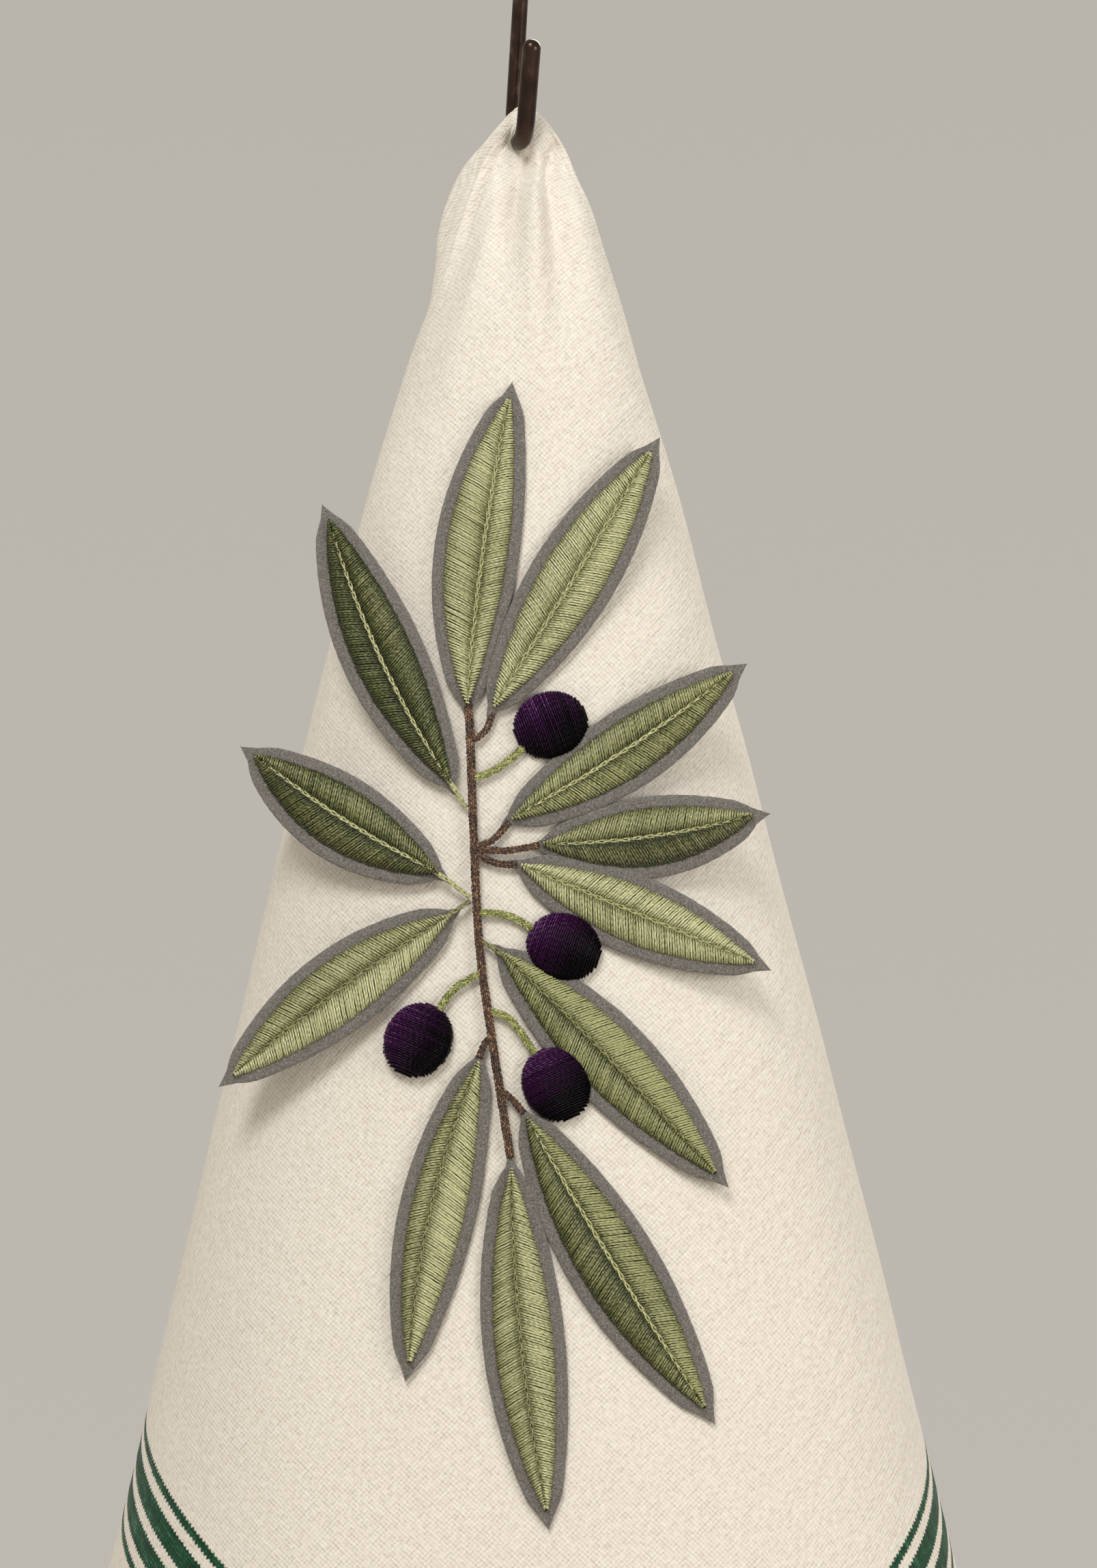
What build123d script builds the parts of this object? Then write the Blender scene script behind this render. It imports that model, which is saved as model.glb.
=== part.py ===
"""Square kitchen towel with an olive branch in applique, hung by a gathered point from a wire S-hook.

Millimetres. +Z is up, the decorated face looks along -Y and +X is to the viewer's right.
The origin is the rail seat: the inside top of the hook's upper bend.
"""

from math import atan2, cos, degrees, hypot, pi, radians, sin, sqrt
import os

from build123d import *

# ---- wire hook -------------------------------------------------------------------------------
lower_bend_radius = 8.0      # wire axis, round the towel's seat
upper_bend_radius = 12.0     # wire axis, round the rail
bend_distance = 75.0         # centre of the upper bend straight above the centre of the lower one
front_radius = 2.55          # wire radius on the front leg
shank_radius = 2.0           # wire radius on the shank and the upper bend
front_leg_length = 20.0
front_leg_flare = 5.0        # degrees that the front leg opens away from the shank
tail_length = 13.0
hook_yaw = 13.0              # degrees that the hook's plane is turned about the vertical

# ---- towel -----------------------------------------------------------------------------------
towel_side = 500.0           # woven square
hang_inset = 95.0            # the hung point's distance from the two edges of its corner
cloth = 1.2                  # thickness
towel_x = 1.0                # the gathered point's centre, beside the seat's centre
front_offset = 13.5          # the front generator starts this far in front of the seat
front_slope = 0.1834         # and goes forward by this much for each millimetre of drop
section_power = 2.3          # 2 is an ellipse, more is flatter in front and behind
# drop below the seat, half width
profile = ((12.0, 15.5), (45.0, 27.0), (96.0, 42.3), (172.0, 61.6), (570.0, 160.0))
neck_depth = 11.5            # half depth at the first section
side_angle = 22.5            # degrees of cloth between the front's centre line and each silhouette
diagonal_lean = 15.0         # the lowest corner hangs this far to the right
back_hem_drop = 405.0

# ---- saddle over the wire --------------------------------------------------------------------
saddle_depth = 6.0
saddle_clearance = 1.5
saddle_outline = ((15.0, -14.5), (11.5, -3.0), (6.6, 3.0), (0.0, 5.5))

# ---- applique, measured on the towel's front: u to the right, w down the front generator ------
applique_radius = 230.0      # the branch is curved less than the towel, so the leaf tips stand free
applique_gap = 0.6
felt, satin, rib, stitch = 1.2, 1.2, 0.6, 1.8   # thicknesses
layer_gap = 0.05
side_gap = 0.15
felt_margin = 2.9
felt_tip = 4.5
# number: (base, tip, satin half width left and right of the midrib, midrib's bulge to the right),
# where left and right are as seen looking from base to tip
leaves = {
    1: ((-15, 163), (-3.6, 77.6), 10.2, 6.7, -1.5),
    2: ((-8, 164), (35.0, 92.0), 8.9, 8.0, 0.4),
    3: ((-19.5, 184.7), (-53.1, 110.2), 7.1, 9.1, -3.1),
    4: ((-22.5, 209.2), (-73.2, 174.6), 8.4, 8.4, -1.9),
    5: ((-19.3, 220.5), (-78.2, 262.3), 8.4, 8.4, 1.3),
    6: ((-3.2, 194.5), (57.2, 152.6), 7.6, 7.4, 1.9),
    7: ((5.2, 201.4), (62.5, 191.8), 8.0, 8.0, 2.3),
    8: ((-0.6, 207.0), (62.7, 232.3), 7.3, 8.1, 0.4),
    9: ((-5.7, 230.7), (51.8, 289.7), 8.2, 8.6, -0.8),
    10: ((-11.7, 260.0), (-30.0, 340.5), 9.2, 5.2, 3.7),
    11: ((-3.0, 288.5), (6.5, 379.4), 8.5, 7.0, 2.2),
    12: ((1.0, 275.0), (48.6, 352.1), 8.6, 9.2, 0.8),
}
felt_order = (7, 1, 11, 10, 12, 9, 8, 6, 5, 4, 3, 2)     # lowest first
petioles = {3: (-15.2, 191.2), 4: (-14.1, 215.7), 5: (-14.1, 216.6), 9: (-10.9, 227.5)}
midrib_width = 1.5
main_stem = ((-14.8, 162), (-14.2, 173), (-13.1, 202), (-11.5, 230), (-7.7, 257), (-3.2, 286))
stem_width = 2.4
twigs = {
    2: ((-13.6, 173), (-10, 170), (-8, 165)),
    6: ((-12.9, 202), (-8, 200), (-3.6, 195.1)),
    7: ((-12.4, 202.5), (-4, 203), (4.4, 201.5)),
    8: ((-12.4, 204), (-7, 206.5), (-1.5, 206.8)),
    10: ((-8.3, 253), (-10.5, 256), (-11.5, 259.2)),
    12: ((-5.5, 268), (-2.5, 270.5), (0.3, 274)),
}
twig_width = 2.0
# number: (centre, turn of its long axis in degrees, stalk's root on the stem, stalk's middle)
olives = {
    1: ((7.5, 168.5), 20, (-13.6, 183.5), (-6.3, 180.2)),
    2: ((11, 229), -20, (-12, 219.8), (-3.6, 220.8)),
    3: ((-28, 254), 65, (-11.2, 236), (-18.6, 240.8)),
    4: ((9, 266), -65, (-9, 246.3), (-3.1, 249)),
}
olive_length, olive_width, olive_height = 20.2, 18.2, 4.4
stalk_width = 1.8

# ---- places that follow from the dimensions ---------------------------------------------------
upper_centre_z = -(upper_bend_radius - shank_radius)
lower_centre_z = upper_centre_z - bend_distance
seat_axis_z = lower_centre_z - lower_bend_radius
seat_z = seat_axis_z + front_radius
shank_length = sqrt(bend_distance**2 - (lower_bend_radius + upper_bend_radius) ** 2)
hook_tilt = degrees(atan2(lower_bend_radius + upper_bend_radius, shank_length))
front_tilt = degrees(atan2(front_slope, 1.0))

# The hook is drawn in its own plane: local X to the front, local Y up, turned by its tilt.
hook_plane = Plane(
    origin=(0, 0, lower_centre_z),
    x_dir=(sin(radians(hook_yaw)), -cos(radians(hook_yaw)), 0),
    z_dir=(-cos(radians(hook_yaw)), -sin(radians(hook_yaw)), 0),
)
# The applique is drawn flat on the front generator: local X to the right, local Y up along it.
front_plane = Plane(
    origin=(towel_x, -front_offset, seat_z),
    x_dir=(1, 0, 0),
    z_dir=(0, -cos(radians(front_tilt)), sin(radians(front_tilt))),
)


def tilted(x, y):
    """A point of the upright hook, after it leans until the load hangs under the rail."""
    t = radians(hook_tilt)
    return Vector(x * cos(t) + y * sin(t), -x * sin(t) + y * cos(t))


def wire(path, start_radius, end_radius):
    """Round wire along one straight or bent stretch, tapered from start to end."""
    ends = [
        Plane(origin=path @ at, z_dir=path % at) * Circle(radius)
        for at, radius in ((0, start_radius), (1, end_radius))
    ]
    return sweep(ends, path=path, multisection=True)


def hook():
    low, high = lower_bend_radius, upper_bend_radius
    rail_x = -(low + high)
    flare = radians(front_leg_flare)
    leg_root = tilted(low * cos(flare), -low * sin(flare))
    leg_tip = leg_root + (tilted(sin(flare), cos(flare)) * front_leg_length)
    shank_foot, shank_top = tilted(-low, 0), tilted(-low, shank_length)
    tail_root, tail_tip = (tilted(rail_x - high, shank_length - drop) for drop in (0, tail_length))
    bend_low, bend_high = tilted(0, -low), tilted(rail_x, shank_length + high)
    mid_radius = (front_radius + shank_radius) / 2
    stretches = (
        (Line(leg_tip, leg_root), front_radius, front_radius),
        (ThreePointArc(leg_root, bend_low, shank_foot), front_radius, mid_radius),
        (Line(shank_foot, shank_top), mid_radius, shank_radius),
        (ThreePointArc(shank_top, bend_high, tail_root), shank_radius, shank_radius),
        (Line(tail_root, tail_tip), shank_radius, shank_radius),
    )
    body = Pos(*leg_tip) * Sphere(front_radius) + Pos(*tail_tip) * Sphere(shank_radius)
    for path, start, end in stretches:
        body += wire(path, start, end)
    return hook_plane * body


def half_width(drop):
    """The towel's half width at a drop below the seat, straight between the profile's points."""
    for (drop_a, width_a), (drop_b, width_b) in zip(profile, profile[1:]):
        if drop <= drop_b or drop_b == profile[-1][0]:
            return width_a + (width_b - width_a) * (drop - drop_a) / (drop_b - drop_a)


def towel_section(drop, inset):
    """One closed cross-section of the hanging towel, flatter in front than an ellipse."""
    wide = half_width(drop) - inset
    deep = (neck_depth if drop == profile[0][0] else front_offset + front_slope * drop) - inset
    points = []
    for step in range(24):
        a = 2 * pi * step / 24
        c, s = cos(a), sin(a)
        points.append((
            wide * abs(c) ** (2 / section_power) * (1 if c > 0 else -1),
            deep * abs(s) ** (2 / section_power) * (1 if s > 0 else -1),
        ))
    return Pos(towel_x, 0, seat_z - drop) * make_face(Spline(*points, periodic=True))


def towel_shell(inset):
    return loft([towel_section(drop, inset) for drop, _ in profile], ruled=True)


def hem_cutter():
    """Keeps the cloth above its hem: a curved V in front and a level edge behind."""
    reach = towel_side - hang_inset
    lean = cos(radians(front_tilt))
    points = []
    for step in range(-5, 6):
        angle = side_angle * step / 5
        drop = reach / sin(radians(45 + abs(angle))) * lean
        across = half_width(drop) * sin(pi / 2 * step / 5)
        points.append((across + diagonal_lean * (1 - abs(step) / 5), -drop))
    wide = 200.0
    outline = [(-wide, 0), (-wide, points[0][1]), *points, (wide, points[-1][1]), (wide, 0)]
    face = Pos(towel_x, 0, seat_z) * (Plane.XZ * make_face(Polyline(*outline, close=True)))
    front = extrude(face, amount=wide)
    back = Pos(towel_x, wide / 2, seat_z - back_hem_drop / 2) * Box(2 * wide, wide, back_hem_drop)
    return front + back


def saddle():
    """The gathered cloth that crosses the wire between the hook's leg and shank."""
    right = list(saddle_outline)
    left = [(-x, z) for x, z in reversed(saddle_outline[:-1])]
    block = make_face(Polyline(*right, *left, close=True))
    clear = front_radius + saddle_clearance
    slot = Pos(0, -front_radius) * Circle(clear) + Pos(0, -front_radius - 10) * Rectangle(2 * clear, 20)
    across = Plane(
        origin=(0, 0, seat_z),
        x_dir=(cos(radians(hook_yaw)), sin(radians(hook_yaw)), 0),
        z_dir=(sin(radians(hook_yaw)), -cos(radians(hook_yaw)), 0),
    )
    return extrude(across * (block - slot), amount=saddle_depth / 2, both=True)


def towel():
    shell = towel_shell(0) - towel_shell(cloth)
    return shell & hem_cutter()


# ---- applique --------------------------------------------------------------------------------
def bend(number, f, side=0.0):
    """A point on a leaf: f from base to tip along its curved centre line, side to its right."""
    (bu, bw), (tu, tw), _, _, bulge = leaves[number]
    along = Vector(tu - bu, bw - tw)
    right = Vector(along.Y, -along.X).normalized()
    slope = along + right * (bulge * 4 * (1 - 2 * f))
    out = Vector(slope.Y, -slope.X).normalized()
    return Vector(bu, -bw) + along * f + right * (bulge * 4 * f * (1 - f)) + out * side


def leaf_length(number):
    (bu, bw), (tu, tw) = leaves[number][:2]
    return hypot(tu - bu, tw - bw)


def edge_point(number, f, side, margin=0.0):
    """A point of a leaf's edge: side is -1 on the left and 1 on the right of its midrib."""
    half = leaves[number][2 if side < 0 else 3] * sin(pi * f) ** 0.8
    return bend(number, f, side * (half + margin))


def satin_outline(number):
    """Lance-shaped face with a sharp base and tip."""
    steps = (0.12, 0.3, 0.5, 0.7, 0.88)
    right = [edge_point(number, f, 1) for f in steps]
    left = [edge_point(number, f, -1) for f in reversed(steps)]
    base, tip = bend(number, 0), bend(number, 1)
    return make_face([Spline(base, *right, tip), Spline(tip, *left, base)])


def felt_outline(number, grow=0.0):
    """The satin outline with a margin all round and blunt ends."""
    steps = (0.04, 0.2, 0.4, 0.6, 0.8, 0.96)
    margin = felt_margin + grow
    right = [edge_point(number, f, 1, margin) for f in steps]
    left = [edge_point(number, f, -1, margin) for f in reversed(steps)]
    base = bend(number, -(felt_margin + grow) / leaf_length(number))
    tip = bend(number, 1 + (felt_tip + grow) / leaf_length(number))
    return make_face(Spline(base, *right, tip, *left, periodic=True))


def ribbon(points, width):
    """A line of stitching: a strip of one width along a smooth path of (u, w) points."""
    path = Spline(*[(u, -w) for u, w in points]) if len(points) > 2 else Line(
        *[(u, -w) for u, w in points])
    steps = [i / 8 for i in range(9)] if len(points) > 2 else [0, 1]
    sides = []
    for sign in (1, -1):
        sides.append([
            path @ f + Vector((path % f).Y, -(path % f).X) * (sign * width / 2) for f in steps
        ])
    edge = Spline if len(steps) > 2 else Line
    right, left = edge(*sides[0]), edge(*reversed(sides[1]))
    return make_face([right, Line(right @ 1, left @ 0), left, Line(left @ 1, right @ 0)])


def midrib_path(number):
    steps = (0.02, 0.25, 0.5, 0.75, 0.94)
    return [(p.X, -p.Y) for p in (bend(number, f) for f in steps)]


def olive_outline(number, grow=0.0):
    (u, w), turn = olives[number][:2]
    return Pos(u, -w) * Rot(0, 0, turn) * Ellipse(olive_length / 2 + grow, olive_width / 2 + grow)


def petiole_path(number):
    end = bend(number, 0.04)
    return (petioles[number], (end.X, -end.Y))


def stalk_path(number):
    centre, _, root, middle = olives[number]
    return (root, middle, centre)


def largest(sketch):
    return max(sketch.faces(), key=lambda face: face.area)


def without(face, *others):
    for other in others:
        face = largest(Sketch() + face - other)
    return face


def layer(low, high):
    """The curved layer of space between two heights above the applique's base surface."""
    base = applique_radius + applique_gap
    place = Pos(0, -230, -applique_radius) * Rot(90, 0, 0)
    return place * (Cylinder(base + high, 420) - Cylinder(base + low, 420))


def lay(face, low, high):
    """A flat outline carried onto the curved layer."""
    column = extrude(Pos(0, 0, -45) * face, amount=60)
    return front_plane * (column & layer(low, high))


def applique():
    """Every piece of the branch, as node name and solid."""
    satin_low = felt + layer_gap
    rib_low = satin_low + satin + layer_gap
    stem = ribbon(main_stem, stem_width)
    wide_stem = ribbon(main_stem, stem_width + 2 * side_gap)
    wide_olives = [olive_outline(n, side_gap) for n in olives]
    lines = {f"twig_leaf_{n:02d}": (points, twig_width) for n, points in twigs.items()}
    lines.update({f"olive_stalk_{n:02d}": (stalk_path(n), stalk_width) for n in olives})
    wide_lines = [ribbon(points, width + 2 * side_gap) for points, width in lines.values()]
    stitched = [wide_stem, *wide_lines, *wide_olives]
    wide_petioles = [ribbon(petiole_path(n), midrib_width + 2 * side_gap) for n in petioles]

    pieces = {"main_stem": lay(stem, 0, stitch)}
    wide_middle_twig = ribbon(twigs[7], twig_width + 2 * side_gap)
    for name, (points, width) in lines.items():
        beside = [wide_middle_twig] if name in ("twig_leaf_06", "twig_leaf_08") else []
        line = without(ribbon(points, width), wide_stem, *beside, *wide_olives)
        pieces[name] = lay(line, 0, stitch)
    for rank, n in enumerate(felt_order):
        above = felt_order[rank + 1:]
        cutters = stitched + wide_petioles
        backing = without(felt_outline(n), *[felt_outline(m, side_gap) for m in above], *cutters)
        pieces[f"leaf_backing_{n:02d}"] = lay(backing, 0, felt)
        covers = [satin_outline(m) for m in above]
        pieces[f"leaf_satin_{n:02d}"] = lay(
            without(satin_outline(n), *covers, *cutters), satin_low, satin_low + satin)
        line = lay(without(ribbon(midrib_path(n), midrib_width), *wide_olives), rib_low, rib_low + rib)
        if n in petioles:
            beside = [ribbon(petiole_path(4), midrib_width + 2 * side_gap)] if n == 5 else []
            petiole = without(ribbon(petiole_path(n), midrib_width), wide_stem, *beside)
            line += lay(petiole, 0, rib_low + rib)
        pieces[f"leaf_midrib_{n:02d}"] = line
    under = Pos(0, -230, -applique_radius) * Rot(90, 0, 0) * Cylinder(applique_radius + applique_gap, 420)
    for n, ((u, w), turn, _, _) in olives.items():
        rise = applique_gap - u * u / (2 * applique_radius)
        pad = scale(Sphere(1), by=(olive_length / 2, olive_width / 2, olive_height))
        pieces[f"olive_{n:02d}"] = front_plane * (Pos(u, -w, rise) * Rot(0, 0, turn) * pad - under)
    return pieces


def main():
    os.makedirs("parts", exist_ok=True)
    nodes = {"s_hook": hook(), "towel_cloth": towel() + saddle()}
    nodes.update(applique())
    for name, shape in nodes.items():
        export_step(shape, f"parts/{name}.step")
        print(f"{name}: {len(shape.solids())} solid, {shape.volume:.1f} mm3")


main()
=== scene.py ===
import math

import bpy
import numpy as np
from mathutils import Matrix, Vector


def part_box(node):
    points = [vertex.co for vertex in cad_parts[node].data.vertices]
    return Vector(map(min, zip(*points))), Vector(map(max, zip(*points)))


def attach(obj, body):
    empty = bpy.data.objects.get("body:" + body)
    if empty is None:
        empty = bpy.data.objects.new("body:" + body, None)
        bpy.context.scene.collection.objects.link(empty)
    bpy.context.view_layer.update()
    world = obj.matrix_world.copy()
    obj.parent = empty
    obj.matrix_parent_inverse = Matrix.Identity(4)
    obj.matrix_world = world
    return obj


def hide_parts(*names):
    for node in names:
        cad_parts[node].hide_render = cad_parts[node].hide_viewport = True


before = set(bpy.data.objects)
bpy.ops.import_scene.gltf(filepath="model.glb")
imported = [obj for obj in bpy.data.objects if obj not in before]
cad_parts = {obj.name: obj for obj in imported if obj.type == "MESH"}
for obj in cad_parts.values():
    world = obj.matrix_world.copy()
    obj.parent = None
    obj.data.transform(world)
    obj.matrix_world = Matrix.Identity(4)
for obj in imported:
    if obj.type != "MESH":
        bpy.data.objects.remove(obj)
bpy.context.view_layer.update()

# Square kitchen towel with an olive branch in applique, hung from a wire S-hook.
# Shapes are worked out in millimetres and written to the meshes in metres.

MM = 0.001
RNG = np.random.default_rng(11)

# ---- places, from the frame -------------------------------------------------------------------
FRONT_RADIUS = 2.55                                          # wire radius of the hook's front leg
SEAT_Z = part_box("s_hook")[0].z / MM + 2 * FRONT_RADIUS       # where the cloth rests on the wire
# the applique lies on a wide cylinder that leans back with the towel's front
TOWEL_X = 1.0
FRONT_OFFSET, FRONT_SLOPE = 13.5, 0.1834
FRONT_TILT = math.atan(FRONT_SLOPE)
APPLIQUE_RADIUS, APPLIQUE_GAP = 230.0, 0.6
# the camera stands straight in front of the towel
CAMERA_X, CAMERA_DISTANCE, CAMERA_DROP = 7.9, 1500.0, 181.45
SEEN_WIDTH = 305.3               # how much of the towel's plane it takes in from side to side
SENSOR = 36.0

# ---- towel -------------------------------------------------------------------------------------
SIDE, INSET = 500.0, 95.0        # the flat square, and the hung point's distance from two edges
REACH = SIDE - INSET
APEX = 6.5                       # the cloth's top above the seat
LOWEST = 640.0                   # no cloth hangs further below the seat than this
LEAN = math.radians(1.5)         # the long diagonal hangs this far to the right
POWER = 2.3                      # the section's corners: 2 is an ellipse, more is squarer
CLOTH, CLOTH_SHARE = 1.8, 0.5    # the folded hem's thickness, and the plain cloth's share of it
LEAN_STARTS = (20, 120)          # the lean sets in between these distances from the hung point
# the cloth behind folds inwards by a share of the distance from the hung point, and so much more
LEFT_FOLD, RIGHT_FOLD = (0.79, 0.0), (0.45, 3.0)
DEEPEST_FOLD = 80.0              # and by this at most
FRONT_ARC = 75                   # degrees each side of the front's middle with fine columns
ROWS, ROW_CROWDING = 146, 1.45   # rings of the mesh, closer together near the hung point
# drop below the seat, half width
WIDTH = ((-6.5, 0), (-5.7, 3.2), (-3, 5.2), (0, 7.2), (5, 10.4), (11, 12.8), (22, 17.3), (34, 21.3),
         (46, 25.9), (60, 30.9), (73, 35.1), (96, 42.2), (142, 53.5), (172, 61.4), (286, 90),
         (399, 117.6), (570, 160), (640, 177))
# drop below the seat, half depth
DEPTH = ((-6.5, 0), (-3, 1.6), (0, 2.4), (4, 3.4), (8, 6), (14, 11), (20, 15), (30, 18.4),
         (45, 21.8), (96, 31.1), (172, 45), (286, 66), (399, 86.7), (570, 118), (640, 130.9))
# drop below the seat, middle of the section
MIDDLE = ((-6.5, 1.2), (-3, 2.0), (0, 2.4), (10, 2.3), (22, 2.7), (34, 2.5), (46, 1.9), (60, 1.3),
          (73, 1.0), (96, 0.7), (172, 1.5), (286, 2.7), (399, 3.9), (570, 5.8), (640, 6.5))
# drop below the seat, how far the lobe behind the left front fold stands out past it
LOBE = ((-6.5, 0.4), (-4, 2.6), (0, 5.2), (12, 6.3), (20, 6.4), (28, 5.8), (39, 3.3), (48, 0.7),
        (58, 0.0), (640, 0.0))

# ---- applique: u to the right, w down the front; both as in the CAD source ----------------------
# number: (base, tip, satin half width left and right of the midrib, midrib's bulge to the right)
LEAVES = {
    1: ((-15, 163), (-3.6, 77.6), 10.2, 6.7, -1.5),
    2: ((-8, 164), (35.0, 92.0), 8.9, 8.0, 0.4),
    3: ((-19.5, 184.7), (-53.1, 110.2), 7.1, 9.1, -3.1),
    4: ((-22.5, 209.2), (-73.2, 174.6), 8.4, 8.4, -1.9),
    5: ((-19.3, 220.5), (-78.2, 262.3), 8.4, 8.4, 1.3),
    6: ((-3.2, 194.5), (57.2, 152.6), 7.6, 7.4, 1.9),
    7: ((5.2, 201.4), (62.5, 191.8), 8.0, 8.0, 2.3),
    8: ((-0.6, 207.0), (62.7, 232.3), 7.3, 8.1, 0.4),
    9: ((-5.7, 230.7), (51.8, 289.7), 8.2, 8.6, -0.8),
    10: ((-11.7, 260.0), (-30.0, 340.5), 9.2, 5.2, 3.7),
    11: ((-3.0, 288.5), (6.5, 379.4), 8.5, 7.0, 2.2),
    12: ((1.0, 275.0), (48.6, 352.1), 8.6, 9.2, 0.8),
}
FELT_ORDER = (7, 1, 11, 10, 12, 9, 8, 6, 5, 4, 3, 2)         # lowest first
DARK_LEAVES = (3, 4, 6, 9, 12)
DARK_RIBS = (5, 9, 10, 11)
# painted light and shade of the thread left and right of each midrib, for the sheen and shadow that
# fall differently on the two halves; 0 dark to 1 light, chosen in steps of 0.05
HALF_PAINTED_LIGHT = {1: (0.50, 0.45), 2: (0.50, 0.50), 3: (0.25, 0.30), 4: (0.30, 0.40), 5: (0.55, 0.40),
              6: (0.55, 0.50), 7: (0.30, 0.05), 8: (0.55, 0.45), 9: (0.75, 0.50), 10: (0.55, 0.35),
              11: (0.50, 0.40), 12: (0.60, 0.40)}
# where the stalk of a leaf without a twig leaves the stem
PETIOLES = {3: (-15.2, 191.2), 4: (-14.1, 215.7), 5: (-14.1, 216.6), 9: (-10.9, 227.5)}
STEM = ((-14.8, 162), (-14.2, 173), (-13.1, 202), (-11.5, 230), (-7.7, 257), (-3.2, 286))
# points of each leaf's twig, from the stem
TWIGS = {
    2: ((-13.6, 173), (-10, 170), (-8, 165)),
    6: ((-12.9, 202), (-8, 200), (-3.6, 195.1)),
    7: ((-12.4, 202.5), (-4, 203), (4.4, 201.5)),
    8: ((-12.4, 204), (-7, 206.5), (-1.5, 206.8)),
    10: ((-8.3, 253), (-10.5, 256), (-11.5, 259.2)),
    12: ((-5.5, 268), (-2.5, 270.5), (0.3, 274)),
}
# number: (centre, turn of its long axis in degrees, stalk's root on the stem, stalk's middle)
OLIVES = {
    1: ((7.5, 168.5), 20, (-13.6, 183.5), (-6.3, 180.2)),
    2: ((11, 229), -20, (-12, 219.8), (-3.6, 220.8)),
    3: ((-28, 254), 65, (-11.2, 236), (-18.6, 240.8)),
    4: ((9, 266), -65, (-9, 246.3), (-3.1, 249)),
}
OLIVE_LENGTH, OLIVE_WIDTH, OLIVE_HEIGHT = 20.2, 18.2, 4.4     # height over the cloth
FELT, FELT_STEP = 1.2, 0.06      # thickness, and how much higher each leaf lies than the one below
FELT_MARGIN, FELT_TIP = 3.2, 4.5
THREAD_PITCH, OLIVE_PITCH, OLIVE_THREAD = 0.74, 0.60, 0.34    # the last one is a radius
THREAD_SLANT = math.radians(66)
STRAND_OFFSET, STRAND_WIDE, STRAND_HIGH = 0.125, 0.16, 0.25   # the last two are radii
THREAD_PLY = 1.5                 # a thread's two plies repeat after this length
STITCH_LENGTH, STITCH_RADIUS, STITCH_COLUMNS = 1.6, 0.27, 4   # of the stems and stalks
STEM_SIZE, TWIG_SIZE, STALK_SIZE = (2.1, 1.2), (1.8, 1.15), (1.9, 1.05)   # width, height
STALK_END = 0.58                 # a stalk ends this share of the way from its middle to the olive's
RIB_WIDTH, RIB_THREAD, RIB_PITCH, RIB_LIFT = 1.45, 0.25, 13.0, 0.84
SATIN_RISE = 1.55                # the satin's height over the felt
SATIN_SHADE, STITCH_SHADE, OLIVE_SHADE, OLIVE_LIT = 0.67, 0.52, 0.30, 0.50    # 0 dark to 1 light

# ---- sizes that the materials use, in metres ---------------------------------------------------
WEAVE = 0.00101                  # the cotton's thread pitch
STRIPES = ((0.0310, 0.0333), (0.0365, 0.0424), (0.0454, 0.0513), (0.0543, 0.0567))
STRIPE_BAND, STRIPE_BLUR = 0.06, 0.0002
HEM = 0.02                       # the ramp that draws the hem's sewn line ends here
HEM_FOLD = (0.008, 0.0105)       # the folded hem thins out between these distances from the edge


# ---- small geometry tools ----------------------------------------------------------------------
def smooth_table(points, step=0.25):
    """A table of (x, y) made smooth and monotone between its points, as two arrays."""
    x, y = (np.array(c, float) for c in zip(*points))
    h, slope = np.diff(x), np.diff(y) / np.diff(x)
    m = np.zeros(len(x))
    same = slope[:-1] * slope[1:] > 0
    w1, w2 = 2 * h[1:] + h[:-1], h[1:] + 2 * h[:-1]
    with np.errstate(divide="ignore", invalid="ignore"):
        mean = (w1 + w2) / (w1 / slope[:-1] + w2 / slope[1:])
    m[1:-1] = np.where(same, mean, 0)
    m[0], m[-1] = slope[0], slope[-1]
    at = np.arange(x[0], x[-1] + step, step).clip(x[0], x[-1])
    i = np.clip(np.searchsorted(x, at, side="right") - 1, 0, len(h) - 1)
    t = (at - x[i]) / h[i]
    value = ((1 + 2 * t) * (1 - t) ** 2 * y[i] + t * (1 - t) ** 2 * h[i] * m[i]
             + t * t * (3 - 2 * t) * y[i + 1] + t * t * (t - 1) * h[i] * m[i + 1])
    return at, value


def step_up(x, a, b):
    """0 before a, 1 after b, and smooth between."""
    t = np.clip((x - a) / (b - a), 0, 1)
    return t * t * (3 - 2 * t)


def hump(x, a, b, c, d):
    """0 before a, 1 from b to c, and 0 after d."""
    return step_up(x, a, b) * (1 - step_up(x, c, d))


def bell(x, centre, width):
    """1 at the centre and falling off smoothly on both sides."""
    return np.exp(-(((x - centre) / width) ** 2))


def on_front(points):
    """Points (u, -w, height) of the applique in millimetres, as metres in the row frame."""
    u, y, h = points[..., 0], points[..., 1], points[..., 2]
    n = APPLIQUE_GAP + h - (APPLIQUE_RADIUS - np.sqrt(APPLIQUE_RADIUS**2 - u * u))
    s, c = math.sin(FRONT_TILT), math.cos(FRONT_TILT)
    return np.stack([u + TOWEL_X, -FRONT_OFFSET + y * s - n * c, SEAT_Z + y * c + n * s], -1) * MM


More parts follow.
